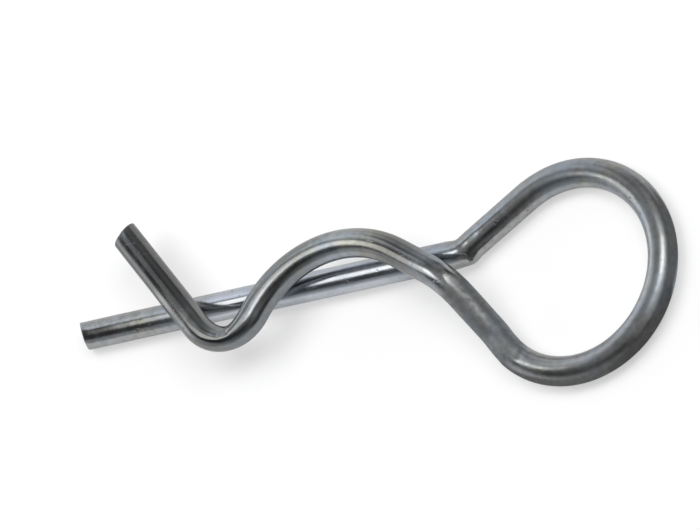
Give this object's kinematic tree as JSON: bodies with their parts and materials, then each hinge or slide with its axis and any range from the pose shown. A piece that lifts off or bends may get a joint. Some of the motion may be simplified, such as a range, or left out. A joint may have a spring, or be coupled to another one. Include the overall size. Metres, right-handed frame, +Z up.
{
  "type": "r clip",
  "caption": "R clip of round spring wire: a straight leg, a round eye that closes in a neck, and a waved leg that crosses over the straight one and ends in a slanting tip.",
  "frame": {"origin": "centre of the bounding box at its bottom, on the surface the clip lies on", "axes": "+X along the straight leg, from its free end towards the eye; +Z up from the surface, square to the flat of the clip; the waved leg is the upper one"},
  "size_m": [0.0942, 0.0346, 0.0087],
  "materials": {
    "zinc_plated_wire": "bright zinc plate, clear passivated, smooth drawn wire"
  },
  "bodies": {
    "root": {"spring_wire": "zinc_plated_wire"}
  },
  "joints": []
}
